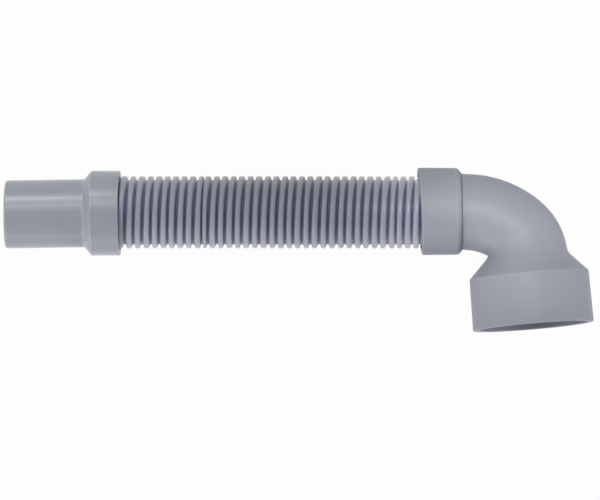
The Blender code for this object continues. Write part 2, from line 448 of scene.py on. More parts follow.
def mottle_and_painted_light_group() -> bpy.types.NodeTree:
    """Pigment with clouds and flecks, a painted highlight on edges and painted shade in grooves.

    The pigment leans to the pale colour by (clouds - 1/2) cloud amount + (flecks - 1/2) fleck
    amount + the edge mask times its amount, whose last term is a painted highlight on rounded edges.
    That leans to the dark groove colour, painted shade, by the depth below the ribs.

    Returns:
        The group.
    """
    group, kit = new_group(
        "mottle_and_painted_light",
        {
            "Vector": None,
            "Pigment": (0.3, 0.3, 0.3, 1.0),
            "Pale": (0.5, 0.5, 0.5, 1.0),
            "Deep": (0.1, 0.1, 0.1, 1.0),
            "Cloud scale": 60.0,
            "Cloud amount": 0.1,
            "Fleck scale": 2500.0,
            "Fleck amount": 0.05,
            "Edge": 0.0,
            "Edge amount": 0.1,
            "Depth": 0.0,
        },
        {"Color": "NodeSocketColor"},
    )
    given = kit.node("NodeGroupInput").outputs
    result = kit.node("NodeGroupOutput").inputs
    clouds = kit.noise(given["Vector"], given["Cloud scale"], detail=3.0)
    flecks = kit.noise(given["Vector"], given["Fleck scale"], detail=2.0, rough=0.6)
    cloud_part = kit.math("MULTIPLY", kit.math("SUBTRACT", clouds, 0.5), given["Cloud amount"])
    fleck_part = kit.math("MULTIPLY", kit.math("SUBTRACT", flecks, 0.5), given["Fleck amount"])
    # Painted highlight: the rounded edges are made paler.
    painted_edge_highlight = kit.math("MULTIPLY", given["Edge"], given["Edge amount"])
    paleness = kit.math("ADD", kit.math("ADD", cloud_part, fleck_part), painted_edge_highlight)
    mix = kit.node("ShaderNodeMix", data_type="RGBA", clamp_factor=False)
    kit.link(paleness, mix.inputs["Factor"])
    kit.link(given["Pigment"], mix.inputs["A"])
    kit.link(given["Pale"], mix.inputs["B"])
    # Painted shade: the grooves are darkened towards the groove colour by their depth.
    painted_shade_mix = kit.node("ShaderNodeMix", data_type="RGBA")
    kit.link(given["Depth"], painted_shade_mix.inputs["Factor"])
    kit.link(mix.outputs["Result"], painted_shade_mix.inputs["A"])
    kit.link(given["Deep"], painted_shade_mix.inputs["B"])
    kit.link(painted_shade_mix.outputs["Result"], result["Color"])
    return group


def moulded_grain_group() -> bpy.types.NodeTree:
    """The height of a moulded skin: shallow waves of uneven cooling and a fine spark-eroded grain.

    The height is waves times wave height + grain times grain height.

    Returns:
        The group.
    """
    group, kit = new_group(
        "moulded_grain",
        {
            "Vector": None,
            "Wave scale": 90.0,
            "Wave height": 1.0,
            "Grain scale": 3000.0,
            "Grain height": 0.2,
        },
        {"Height": "NodeSocketFloat", "Grain": "NodeSocketFloat"},
    )
    given = kit.node("NodeGroupInput").outputs
    result = kit.node("NodeGroupOutput").inputs
    waves = kit.noise(given["Vector"], given["Wave scale"], detail=1.0)
    grain = kit.noise(given["Vector"], given["Grain scale"], detail=3.0, rough=0.65)
    height = kit.math(
        "ADD",
        kit.math("MULTIPLY", waves, given["Wave height"]),
        kit.math("MULTIPLY", grain, given["Grain height"]),
    )
    kit.link(height, result["Height"])
    kit.link(grain, result["Grain"])
    return group


@dataclass(frozen=True)
class PlasticFinish:
    """A grey satin plastic.

    Attributes:
        pigment: Its colour, linear.
        pale: The colour that clouds, flecks and the painted highlight on rounded edges lean to.
        roughness: Its roughness, and how far the grain moves it.
        gloss: How strongly it mirrors, where 0.5 is plain plastic.
        haze: How much light the skin sends back at a glancing angle, and how widely.
        cloud: Scale and amount of the broad variation.
        fleck: Scale and amount of the fine variation.
        wave: Scale and height in millimetres of the shallow waves.
        grain: Scale and height in millimetres of the fine grain.
        edge: How much paler the rounded edges of a moulding are painted, as a painted highlight.
        deep: The darker colour painted down in the grooves of a ribbed wall, as painted shade.
        glow: How much light a ribbed wall sends back towards the hose's outline, down in its
            grooves too. Away from there it sends back the haze's light from its crests alone.
    """

    pigment: tuple[float, float, float]
    pale: tuple[float, float, float]
    roughness: tuple[float, float]
    gloss: float
    haze: tuple[float, float]
    cloud: tuple[float, float]
    fleck: tuple[float, float]
    wave: tuple[float, float]
    grain: tuple[float, float]
    edge: float = 0.0
    deep: tuple[float, float, float] = (0.0, 0.0, 0.0)
    glow: float = 0.0

    def turned_away(self, kit: ShaderKit, axes: HoseAxes) -> bpy.types.NodeSocket:
        """How far the hose's round body turns away from the view, from 0 to 1, whatever its ribs do.

        The way straight out from the hose's line is v - (v . x) x, where v runs from the line's
        start to the point and x is the line's direction.

        Args:
            axes: The hose's axes.

        Returns:
            The socket with the value.
        """
        along = tuple(axes.turn[:, 0])
        point = kit.node("ShaderNodeTexCoord").outputs["Object"]
        reach = kit.vector("SUBTRACT", point, axes.origin).outputs["Vector"]
        share = kit.vector("DOT_PRODUCT", reach, along).outputs["Value"]
        shadow = kit.vector("SCALE", along, share).outputs["Vector"]
        out = kit.vector("SUBTRACT", reach, shadow).outputs["Vector"]
        unit = kit.vector("NORMALIZE", out).outputs["Vector"]
        weight = kit.node("ShaderNodeLayerWeight")
        weight.inputs["Blend"].default_value = 0.5
        kit.link(unit, weight.inputs["Normal"])
        return weight.outputs["Facing"]

    def pattern_place(self, kit: ShaderKit, axes: HoseAxes) -> bpy.types.NodeSocket:
        """The point in the hose's own axes, which every pattern follows.

        Args:
            axes: The hose's axes.

        Returns:
            The socket with the point.
        """
        mapping = kit.node("ShaderNodeMapping", vector_type="TEXTURE")
        mapping.inputs["Location"].default_value = axes.origin
        mapping.inputs["Rotation"].default_value = Matrix(axes.turn).to_euler()
        kit.link(kit.node("ShaderNodeTexCoord").outputs["Object"], mapping.inputs["Vector"])
        return mapping.outputs["Vector"]

    def set_sheen(
        self, kit: ShaderKit, shader: bpy.types.Node, depth: bpy.types.NodeSocket, axes: HoseAxes
    ) -> None:
        """Sets the sheen, which a ribbed wall has on its crests and all over near its outline.

        There it is haze (1 - depth) + glow (how far the hose turns away), and at most 1.

        Args:
            shader: The material's shader.
            depth: The socket with the depth below the ribs.
            axes: The hose's axes.
        """
        amount, spread = self.haze
        shader.inputs["Sheen Roughness"].default_value = spread
        shader.inputs["Sheen Weight"].default_value = amount
        if self.glow > 0.0:
            crest = kit.math("MULTIPLY", kit.math("SUBTRACT", 1.0, depth), amount)
            outline = kit.math("MULTIPLY", self.turned_away(kit, axes), self.glow)
            sheen = kit.math("ADD", crest, outline)
            sheen.node.use_clamp = True
            kit.link(sheen, shader.inputs["Sheen Weight"])

    def material(
        self, name: str, axes: HoseAxes, groups: dict[str, bpy.types.NodeTree]
    ) -> bpy.types.Material:
        """The finish as a material.

        Args:
            name: The material's name.
            axes: The hose's axes, which the patterns follow.
            groups: The shared shader groups by name.

        Returns:
            The material.
        """
        material = bpy.data.materials.new(name)
        material.use_nodes = True
        kit = ShaderKit(material.node_tree)
        shader = material.node_tree.nodes["Principled BSDF"]
        place = self.pattern_place(kit, axes)
        # The depth below the ribs paints shade into the grooves, and on a ribbed wall keeps the sheen
        # off them.
        depth = kit.mask("depth")
        colour = kit.group(
            groups["mottle_and_painted_light"],
            vector=place,
            pigment=(*self.pigment, 1.0),
            pale=(*self.pale, 1.0),
            deep=(*self.deep, 1.0),
            cloud_scale=self.cloud[0],
            cloud_amount=self.cloud[1],
            fleck_scale=self.fleck[0],
            fleck_amount=self.fleck[1],
            # The edge mask paints a highlight along the rounded edges.
            edge=kit.mask("edge"),
            edge_amount=self.edge,
            depth=depth,
        )
        kit.link(colour.outputs["Color"], shader.inputs["Base Color"])
        skin = kit.group(
            groups["moulded_grain"],
            vector=place,
            wave_scale=self.wave[0],
            wave_height=self.wave[1],
            grain_scale=self.grain[0],
            grain_height=self.grain[1],
        )
        bump = kit.node("ShaderNodeBump")
        bump.inputs["Distance"].default_value = MM
        kit.link(skin.outputs["Height"], bump.inputs["Height"])
        kit.link(bump.outputs["Normal"], shader.inputs["Normal"])
        level, spread = self.roughness
        stray = kit.math("MULTIPLY", kit.math("SUBTRACT", skin.outputs["Grain"], 0.5), spread)
        kit.link(kit.math("ADD", stray, level), shader.inputs["Roughness"])
        shader.inputs["Specular IOR Level"].default_value = self.gloss
        self.set_sheen(kit, shader, depth, axes)
        return material


SPIGOT_FINISH = PlasticFinish(
    pigment=(0.254, 0.277, 0.320),
    pale=(0.62, 0.64, 0.66),
    roughness=(0.31, 0.10),
    gloss=0.55,
    haze=(0.50, 0.35),
    cloud=(55.0, 0.10),
    fleck=(2600.0, 0.05),
    wave=(70.0, 0.10),
    grain=(2400.0, 0.020),
    # A painted highlight along the rounded edges.
    edge=0.10,
)
HOSE_FINISH = PlasticFinish(
    pigment=(0.230, 0.247, 0.327),
    pale=(0.60, 0.63, 0.70),
    roughness=(0.40, 0.14),
    gloss=0.45,
    haze=(0.76, 0.55),
    cloud=(85.0, 0.14),
    fleck=(2200.0, 0.06),
    wave=(120.0, 0.08),
    grain=(1800.0, 0.018),
    # Painted shade down in the grooves.
    deep=(0.053, 0.062, 0.112),
    glow=1.0,
)
ELBOW_FINISH = PlasticFinish(
    pigment=(0.233, 0.245, 0.282),
    pale=(0.62, 0.63, 0.68),
    roughness=(0.50, 0.16),
    gloss=0.30,
    haze=(0.0, 0.3),
    cloud=(45.0, 0.10),
    fleck=(2600.0, 0.05),
    wave=(60.0, 0.12),
    grain=(2400.0, 0.020),
    # A faint painted highlight along the rounded edges.
    edge=0.03,
)


@dataclass(frozen=True)
class HoseSizes:
    """The sizes that the pieces share.

    Attributes:
        rib_pitch: From one rib to the next.
        rib_radius: The outer radius of the ribs.
        groove_radius: The outer radius of the grooves.
        groove_wall: The wall at the bottom of a groove.
        rib_wall: The wall at the top of a rib.
        glue_gap: The room for glue, round the hose and at its ends.
        exposed_length: The length of hose between the two collars.
    """

    rib_pitch: float = 4.03 * MM
    rib_radius: float = 17.0 * MM
    groove_radius: float = 15.1 * MM
    groove_wall: float = 0.9 * MM
    rib_wall: float = 1.44 * MM
    glue_gap: float = 0.3 * MM
    exposed_length: float = 141.3 * MM

    @property
    def collar_bore(self) -> float:
        """The radius of the seats that the hose is glued into."""
        return self.rib_radius + self.glue_gap


@dataclass
class Piece:
    """One physical piece: the node that it stands for, its slot in the record and its finish.

    Attributes:
        shared: The sizes that the pieces share.
    """

    node: ClassVar[str]
    slot: ClassVar[Slot]
    finish: ClassVar[PlasticFinish]

    shared: HoseSizes

    def build(self, axes: HoseAxes) -> bpy.types.Object:
        """Makes the piece as one closed mesh, each kind of piece in its own way.

        Args:
            axes: Where the hose's axes lie.

        Returns:
            The piece's object.
        """
        raise NotImplementedError

    def dress(
        self, skin: bpy.types.Object, axes: HoseAxes, groups: dict[str, bpy.types.NodeTree]
    ) -> None:
        """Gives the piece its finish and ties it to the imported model.

        Args:
            skin: The piece's object.
            axes: Where the hose's axes lie.
            groups: The shared shader groups by name.
        """
        skin.data.materials.append(self.finish.material(self.slot.value, axes, groups))
        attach(skin, BODY)
        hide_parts(self.node)


@dataclass
class SpigotCuff(Piece):
    """The plain end: a spigot, a cone and a collar with a seat inside, turned about the hose's axis.

    Attributes:
        radius: The spigot's outer radius.
        length: The spigot's length up to the cone.
        wall: The spigot's wall.
        end_chamfer: The chamfer of the spigot's end, along and across.
        cone_length: The length over which it widens to the collar.
        collar_wall: The wall round the seat.
        collar_length: The collar's length.
        seat_depth: How deep the hose's seat is.
        edge_rounding: The rounding of the collar's outer edge.
        inner_rounding: The rounding where the bore and the seat begin.
        chamfer_rounding: The rounding of the chamfer's two edges.
        cone_rounding: The rounding of the cone's two edges.
        droop: How far the spigot points down from the hose's line.
        sag: How far the whole cuff hangs in its glue.
        around: Points in a ring.
    """

    node: ClassVar[str] = "spigot_cuff"
    slot: ClassVar[Slot] = Slot.SPIGOT
    finish: ClassVar[PlasticFinish] = SPIGOT_FINISH

    radius: float = 16.0 * MM
    length: float = 37.3 * MM
    wall: float = 2.6 * MM
    end_chamfer: float = 0.7 * MM
    cone_length: float = 3.4 * MM
    collar_wall: float = 2.65 * MM
    collar_length: float = 13.3 * MM
    seat_depth: float = 12.0 * MM
    edge_rounding: float = 0.35 * MM
    inner_rounding: float = 0.21 * MM
    chamfer_rounding: float = 0.42 * MM
    cone_rounding: float = 0.70 * MM
    droop: float = radians(0.85)
    sag: float = 0.42 * MM
    around: int = 160

    @property
    def face_radius(self) -> float:
        """The radius of the middle of the spigot's end face."""
        return (self.radius - self.end_chamfer + self.radius - self.wall) / 2

    @property
    def collar_start(self) -> float:
        """Where the collar starts along the hose."""
        return self.length + self.cone_length

    @property
    def end(self) -> float:
        """Where the collar ends along the hose."""
        return self.collar_start + self.collar_length

    @property
    def seat_floor(self) -> float:
        """Where the hose's seat ends inside the collar."""
        return self.end - self.seat_depth

    def profile(self) -> np.ndarray:
        """The closed profile, along the outside and back through the bore.

        Returns:
            Rows of (along, radius, edge).
        """
        bore = self.radius - self.wall
        seat = self.shared.collar_bore
        collar = seat + self.collar_wall
        return rounded_profile([
            Corner(0.0, bore, self.inner_rounding),
            Corner(0.0, self.radius - self.end_chamfer, self.chamfer_rounding),
            Corner(self.end_chamfer, self.radius, self.chamfer_rounding),
            Corner(self.length / 2, self.radius),
            Corner(self.length, self.radius, self.cone_rounding),
            Corner(self.collar_start, collar, self.cone_rounding),
            Corner((self.collar_start + self.end) / 2, collar),
            Corner(self.end, collar, self.edge_rounding),
            Corner(self.end, seat, self.inner_rounding),
            Corner(self.seat_floor, seat),
            Corner(self.seat_floor, bore),
            Corner(self.seat_floor / 2, bore),
        ])

    def build(self, axes: HoseAxes) -> bpy.types.Object:
        """The cuff as one closed mesh, sunk by its sag and by its droop times the way before the collar.

        Args:
            axes: Where the hose's axes lie.

        Returns:
            The cuff's object.
        """
        profile = self.profile()
        rings = rings_from_profile(profile, self.around)
        before_collar = np.maximum(self.collar_start - rings[:, :, 0], 0.0)
        rings[:, :, 1] -= self.sag + tan(self.droop) * before_collar
        return closed_piece("spigot_cuff_skin", rings, profile[:, 2], axes)


@dataclass(frozen=True)
class Drift:
    """A wave by which the ribs stray along the hose.

    It moves a point along X by amount sin(per_pitch n + start + swirl sin(t + lead)), where n is the
    number of pitches up to the point and t its angle round the hose.
    """

    amount: float
    per_pitch: float
    start: float
    swirl: float
    lead: float

    def move(self, count: np.ndarray, angle: np.ndarray) -> np.ndarray:
        """How far points at a number of pitches and an angle are moved along X."""
        turn = self.per_pitch * count + self.start + self.swirl * np.sin(angle + self.lead)
        return self.amount * np.sin(turn)


@dataclass(frozen=True)
class Pinch:
    """A place where the ribs stand closer.

    It pulls points back along X by half its amount times 1 + tanh((x - place) / width), so that the
    ribs at it stand closer by that amount and the others keep their pitch.
    """

    place: float
    width: float
    amount: float

    def move(self, along: np.ndarray) -> np.ndarray:
        """How far points at places along X are moved along X."""
        return -self.amount * 0.5 * (1.0 + np.tanh((along - self.place) / self.width))


@dataclass
class RibbedHose(Piece):
    """The hose: one rib wound round a thin wall as a left-hand helix.

    Attributes:
        start: Where the hose starts along X.
        end: Where it ends.
        rib_share: The share of a pitch that the rib takes at half its height.
        rib_squareness: How steep the rib's sides are.
        first_groove: Where a groove crosses the near side, which sets how the helix is turned.
        around: Points in a turn.
        outer_rows: Points in a pitch of the outside.
        inner_rows: Points in a pitch of the bore.
        spare_pitches: How many pitches the winding reaches past each cut end.
        cut_tolerance: How close to a cut a point counts as on it.
        drifts: The waves by which the ribs stray.
        pinches: The places where ribs stand closer.
    """

    node: ClassVar[str] = "corrugated_hose"
    slot: ClassVar[Slot] = Slot.HOSE
    finish: ClassVar[PlasticFinish] = HOSE_FINISH

    start: float
    end: float
    rib_share: float = 0.62
    rib_squareness: float = 2.6
    first_groove: float = 57.45 * MM
    around: int = 96
    outer_rows: int = 16
    inner_rows: int = 4
    spare_pitches: int = 2
    cut_tolerance: float = 0.0001 * MM
    drifts: tuple[Drift, ...] = (
        Drift(amount=0.12 * MM, per_pitch=0.83, start=0.0, swirl=0.6, lead=0.0),
        Drift(amount=0.096 * MM, per_pitch=3.05, start=1.3, swirl=0.4, lead=pi / 2),
    )
    pinches: tuple[Pinch, ...] = (
        Pinch(place=94.35 * MM, width=1.3 * MM, amount=1.15 * MM),
        Pinch(place=186.5 * MM, width=3.0 * MM, amount=0.80 * MM),
    )

    def rib_height(self, phase: np.ndarray) -> np.ndarray:
        """The rib's height: tanh of a raised cosine of the phase, scaled to run from 0 to 1.

        Args:
            phase: The place across the rib in pitches, with whole numbers on the rib's top.

        Returns:
            The height at each place.
        """
        bias = -np.cos(pi * self.rib_share)
        rise = np.tanh(self.rib_squareness * (np.cos(FULL_TURN * phase) + bias))
        low = np.tanh(self.rib_squareness * (bias - 1.0))
        high = np.tanh(self.rib_squareness * (bias + 1.0))
        return (rise - low) / (high - low)

    def stray(self, along: np.ndarray, angle: np.ndarray) -> np.ndarray:
        """How far points are moved along X: the sum of what every drift and every pinch moves them.

        Args:
            along: The points' places along X in an even winding.
            angle: Their angles round the hose.

        Returns:
            The moves.
        """
        count = along / self.shared.rib_pitch
        drifted = sum(drift.move(count, angle) for drift in self.drifts)
        return drifted + sum(pinch.move(along) for pinch in self.pinches)

    def winding_faces(self, count: int, rows: int) -> np.ndarray:
        """The quads of a winding, also over the seam where a turn ends and the next one goes on.

        The last column of a row meets the first column of the row one pitch before it.

        Args:
            count: All rows of the winding.
            rows: Rows in a pitch.

        Returns:
            An array of four point numbers for each quad.
        """
        last = self.around - 1
        corner = np.arange(count - 1)[:, None] * self.around + np.arange(last)
        body = np.stack((corner, corner + self.around, corner + self.around + 1, corner + 1), axis=2)
        row = np.arange(rows, count - 1)
        ending = row * self.around + last
        going_on = (row - rows) * self.around
        seam = np.stack((ending, ending + self.around, going_on + self.around, going_on), axis=1)
        return np.concatenate((body.reshape(-1, 4), seam))

    def winding(
        self, rows: int, low: float, high: float
    ) -> tuple[np.ndarray, np.ndarray, np.ndarray]:
        """The skin between two radii as a lattice that follows the helix.

        Row k and column j lie at x = first + pitch (k / rows - j / around), at the angle
        2 pi j / around and the radius low + (high - low) height(k / rows). The first row starts on a
        rib. A groove crosses the near side, which is a quarter turn round, a quarter pitch further.

        Args:
            rows: Rows in a pitch.
            low: The radius of the grooves.
            high: The radius of the ribs.

        Returns:
            The points, the quads and each point's depth below the ribs from 0 to 1.
        """
        pitch = self.shared.rib_pitch
        rib_to_groove, quarter_turn = 0.5, 0.25
        before = int(np.ceil((self.first_groove - self.start) / pitch)) + self.spare_pitches
        first = self.first_groove - (before - rib_to_groove - quarter_turn) * pitch
        turns = int(np.ceil((self.end - first) / pitch)) + self.spare_pitches + 1
        row = np.arange(turns * rows + 1)
        column = np.arange(self.around)
        angle = np.broadcast_to(column * FULL_TURN / self.around, (len(row), self.around))
        along = first + pitch * (row[:, None] / rows - column / self.around)
        height = np.broadcast_to(self.rib_height(row / rows)[:, None], along.shape)
        radius = low + (high - low) * height
        moved = along + self.stray(along, angle)
        points = np.stack((moved, radius * np.cos(angle), radius * np.sin(angle)), axis=2)
        return points.reshape(-1, 3), self.winding_faces(len(row), rows), 1.0 - height.reshape(-1)

    def trimmed(
        self, points: np.ndarray, faces: np.ndarray, depth: np.ndarray
    ) -> bmesh.types.BMesh:
        """The lattice cut square at the hose's two ends.

        Args:
            points: The lattice's points in the hose's axes.
            faces: Its quads.
            depth: Each point's depth below the ribs, kept as a mask.

        Returns:
            The cut skin, open at both ends.
        """
        mesh = mesh_with_mask("hose_lattice", points, faces, "depth", depth)
        skin = bmesh.new()
        skin.from_mesh(mesh)
        bpy.data.meshes.remove(mesh)
        for place, side in ((self.start, -1.0), (self.end, 1.0)):
            bmesh.ops.bisect_plane(
                skin,
                geom=[*skin.verts, *skin.edges, *skin.faces],
                dist=self.cut_tolerance,
                plane_co=(place, 0.0, 0.0),
                plane_no=(side, 0.0, 0.0),
                clear_outer=True,
            )
        return skin

    def close_ends(self, skin: bmesh.types.BMesh) -> None:
        """Joins the rims of the outside and the bore at each end of the hose.

        Args:
            skin: The outside and the bore, both open at their ends.
        """
        middle = (self.start + self.end) / 2
        for side in (-1.0, 1.0):
            rim = [
                edge for edge in skin.edges
                if edge.is_boundary and side * (edge.verts[0].co.x - middle) > 0.0
            ]
            bmesh.ops.bridge_loops(skin, edges=rim)
        bmesh.ops.recalc_face_normals(skin, faces=skin.faces)

    def build(self, axes: HoseAxes) -> bpy.types.Object:
        """The outside, the bore and the two cut ends as one closed mesh.

        Args:
            axes: Where the hose's axes lie.

        Returns:
            The hose's object.
        """
        groove, rib = self.shared.groove_radius, self.shared.rib_radius
        groove_bore, rib_bore = groove - self.shared.groove_wall, rib - self.shared.rib_wall
        skin = self.trimmed(*self.winding(self.outer_rows, groove, rib))
        bore = self.trimmed(*self.winding(self.inner_rows, groove_bore, rib_bore))
        bmesh.ops.reverse_faces(bore, faces=bore.faces)
        inner = bpy.data.meshes.new("hose_bore_skin")
        bore.to_mesh(inner)
        bore.free()
        skin.from_mesh(inner)
        bpy.data.meshes.remove(inner)
        self.close_ends(skin)
        mesh = bpy.data.meshes.new("corrugated_hose_skin")
        skin.to_mesh(mesh)
        skin.free()
        # The cuts were made square to X in the hose's own axes, so the move comes last.
        mesh.transform(axes.to_model())
        mesh.shade_smooth()
        return linked_object("corrugated_hose_skin", mesh)


@dataclass
class ElbowSocket(Piece):
    """The elbow: a collar for the hose, a bend, a flare and a socket for a pipe, as one closed skin.

    Attributes:
        start: Where the collar starts along X.
        collar_wall: The wall round the hose's seat at the collar's mouth.
        collar_length: The collar's length.
        collar_draft: How far the collar's outside narrows towards the bend.
        seat_depth: How deep the hose's seat is.
        collar_lip: The rounding of the collar's mouth.
        collar_back: The rounding of the collar's other end.
        tube_radius: The bend's outer radius.
        tube_wall: The bend's wall.
        lead: The straight length between the collar and the bend.
        bend_radius: The radius of the bend's centre line.
        bend_angle: The angle that it turns through.
        socket_bore: The radius of the socket's bore at its inner end.
        socket_wall: The socket's wall.
        socket_length: The length from the shoulder to the mouth.
        socket_draft: How far the socket widens towards its mouth.
        socket_stop: How far the stop for the pipe stands in from the bore.
        socket_lip: The rounding of the mouth's outer edge.
        beyond_bend: How far past the bend's end the shoulder lies.
        inset: How far in from the bend's centre line the socket's axis lies.
        flare_angle: How far the flare's side leans from the socket's axis.
        inner_rounding: The rounding of the seat's edge, the bore's end and the stop.
        root_rounding: The rounding where the tube leaves the collar.
        shoulder_rounding: The rounding of the shoulder.
        mouth_rounding: The rounding of the mouth's inner edge.
        mouth_skew: How far the collar's mouth leans, as slopes along Y and Z.
        back_skew: How far the collar's other end leans.
        collar_lift: How far the collar's outside sits off its bore.
        lift_reach: How far out from the bore the lift reaches its whole amount.
        fullness: How far the bend swings out from a plain arc past its middle.
        fullness_delay: How late it does so.
        settle_from: The share of the bend past which its rings move over to the socket's axis.
        blends: The widths over which the bend runs into the flare: at its outer side, at its inner
            side and half way between them.
        around: Points in a ring.
        bend_rings: Rings along the bend.
        arc_steps: Chords in the arc of a rounding.
    """

    node: ClassVar[str] = "elbow_socket"
    slot: ClassVar[Slot] = Slot.ELBOW
    finish: ClassVar[PlasticFinish] = ELBOW_FINISH

    start: float
    collar_wall: float = 3.25 * MM
    collar_length: float = 19.5 * MM
    collar_draft: float = radians(0.5)
    seat_depth: float = 15.0 * MM
    collar_lip: float = 0.9 * MM
    collar_back: float = 2.8 * MM
    tube_radius: float = 17.9 * MM
    tube_wall: float = 2.9 * MM
    lead: float = 3.0 * MM
    bend_radius: float = 30.35 * MM
    bend_angle: float = radians(85.0)
    socket_bore: float = 25.1 * MM
    socket_wall: float = 3.0 * MM
    socket_length: float = 24.2 * MM
    socket_draft: float = radians(1.0)
    socket_stop: float = 2.0 * MM
    socket_lip: float = 0.6 * MM
    beyond_bend: float = 1.8 * MM
    inset: float = 1.35 * MM
    flare_angle: float = radians(44.0)
    inner_rounding: float = 0.3 * MM
    root_rounding: float = 0.35 * MM
    shoulder_rounding: float = 1.0 * MM
    mouth_rounding: float = 0.4 * MM
    mouth_skew: tuple[float, float] = (-0.053, 0.080)
    back_skew: tuple[float, float] = (-0.020, 0.080)
    collar_lift: float = 0.4 * MM
    lift_reach: float = 1.0 * MM
    fullness: float = 1.5 * MM
    fullness_delay: float = 1.66
    settle_from: float = 0.5
    blends: tuple[float, float, float] = (1.6 * MM, 4.0 * MM, 9.0 * MM)
    around: int = 144
    bend_rings: int = 84
    arc_steps: int = 8

    @property
    def angles(self) -> np.ndarray:
        """The angle of each point of a ring, from the side away from the pivot."""
        return np.arange(self.around) * FULL_TURN / self.around

    @property
    def collar_radius(self) -> float:
        """The outer radius of the collar at its mouth."""
        return self.shared.collar_bore + self.collar_wall

    @property
    def collar_end(self) -> float:
        """Where the collar ends along X."""
        return self.start + self.collar_length

    @property
    def seat_floor(self) -> float:
        """Where the hose's seat ends along X."""
        return self.start + self.seat_depth

    @property
    def bend_start(self) -> float:
        """Where the bend starts along X."""
        return self.collar_end + self.lead

    @property
    def tube_bore(self) -> float:
        """The radius of the bore through the bend."""
        return self.tube_radius - self.tube_wall

    @property
    def shoulder_radius(self) -> float:
        """The outer radius where the flare meets the socket."""
        return self.socket_bore + self.socket_wall

    @property
    def throat(self) -> float:
        """The radius inside the stop for the pipe."""
        return self.socket_bore - self.socket_stop

    @property
    def pivot(self) -> np.ndarray:
        """The centre that the bend turns about."""
        return np.array((self.bend_start, -self.bend_radius, 0.0))

    @property
    def socket_axis(self) -> np.ndarray:
        """The direction that the socket opens in."""
        return np.array((cos(self.bend_angle), -sin(self.bend_angle), 0.0))

    @property
    def shoulder(self) -> np.ndarray:
        """The point of the socket's axis where the flare meets the socket."""
        out = self.outward(self.bend_angle)
        end = self.pivot + self.bend_radius * out
        return end + self.beyond_bend * self.socket_axis - self.inset * out

    @staticmethod
    def outward(angle: np.ndarray | float) -> np.ndarray:
        """The direction from the pivot to the tube's centre at an angle of the bend."""
        return np.stack((np.sin(angle), np.cos(angle), np.zeros_like(angle)), axis=-1)

    def spokes(self, out: np.ndarray) -> np.ndarray:
        """The directions from a ring's centre to its points: cos t times out plus sin t times Z.

        Args:
            out: For each ring, the direction away from the pivot.

        Returns:
            The directions, for each ring and each angle t.
        """
        across = np.cos(self.angles)[:, None] * out[..., None, :]
        return across + np.sin(self.angles)[:, None] * np.array((0.0, 0.0, 1.0))

    def flare_reach(self, origin: np.ndarray, ray: np.ndarray, radius: float) -> np.ndarray:
        """How far a ray runs before it leaves the flare's cone.

        With q the ray's start from the shoulder, z its place along the socket's axis and k the cone's
        slope, the ray leaves where its distance from the axis equals radius + k z, which is the larger
        root of a quadratic. A ray that starts outside the cone or is as steep as the cone has no reach.

        Args:
            origin: The rays' starts.
            ray: The rays' directions.
            radius: The cone's radius at the shoulder.

        Returns:
            The reach of each ray, or 0.
        """
        steep_limit = 1e-6
        slope = tan(self.flare_angle)
        start = origin - self.shoulder
        depth, painted_shade_mix = start @ self.socket_axis, ray @ self.socket_axis
        side = start - depth[..., None] * self.socket_axis
        widen = ray - painted_shade_mix[..., None] * self.socket_axis
        cone = radius + slope * depth
        square = np.einsum("...i,...i", widen, widen) - (slope * painted_shade_mix) ** 2
        half = np.einsum("...i,...i", side, widen) - slope * painted_shade_mix * cone
        rest = np.einsum("...i,...i", side, side) - cone ** 2
        root = np.sqrt(np.maximum(half ** 2 - square * rest, 0.0))
        leaves = (rest < 0.0) & (cone > 0.0) & (square > steep_limit)
        return np.where(leaves, (root - half) / np.where(square > steep_limit, square, 1.0), 0.0)

    def bend_rings_at(self, tube: float, flare: float) -> np.ndarray:
        """The rings of the bend, from its start to its end, where they have become the flare's.

        Each ring lies in a plane through the pivot. Its radius at each angle is the smooth larger of
        the tube's reach and the flare's: max(a, b) + h squared times blend / 4, where h is
        1 - |a - b| / blend, and not below 0. The rings' centres move from the tube's centre to the
        socket's axis on the way.

        Args:
            tube: The tube's radius.
            flare: The flare's radius at the shoulder.

        Returns:
            The rings in the hose's axes.
        """
        share = np.linspace(0.0, 1.0, self.bend_rings)
        out = self.outward(share * self.bend_angle)
        # The centres move over to the socket's axis by a smooth step, and swing out on the way.
        settle = np.clip((share - self.settle_from) / (1.0 - self.settle_from), 0.0, 1.0)
        shift = self.inset * settle ** 2 * (3.0 - 2.0 * settle)
        swing = self.bend_radius + self.fullness * np.sin(pi * share ** self.fullness_delay) ** 2
        centre = self.pivot + (swing - shift)[:, None] * out
        # How far a spoke runs from the moved centre to the tube's round wall.
        ray = self.spokes(out)
        toward = shift[:, None] * np.cos(self.angles)
        tube_reach = toward + np.sqrt(toward ** 2 + tube ** 2 - shift[:, None] ** 2)
        starts = np.broadcast_to(centre[:, None, :], ray.shape)
        flare_reach = self.flare_reach(starts, ray, flare)
        # The width of the blend at each angle, and the smooth larger of the two reaches.
        outer, inner, middle = self.blends
        blend = np.where(np.cos(self.angles) > 0.0, outer, inner)
        blend = blend + (middle - blend) * np.sin(self.angles) ** 2
        closeness = np.maximum(1.0 - np.abs(tube_reach - flare_reach) / blend, 0.0)
        reach = np.maximum(tube_reach, flare_reach) + closeness ** 2 * blend / 4
        return centre[:, None, :] + reach[:, :, None] * ray

    def socket_rings(self, profile: np.ndarray) -> np.ndarray:
        """A profile turned about the socket's axis.

        Args:
            profile: Rows of (depth, radius), with the depth from the shoulder.

        Returns:
            The rings in the hose's axes.
        """
        ray = self.spokes(self.outward(self.bend_angle))
        centre = self.shoulder + profile[:, :1] * self.socket_axis
        return centre[:, None, :] + profile[:, 1][:, None, None] * ray

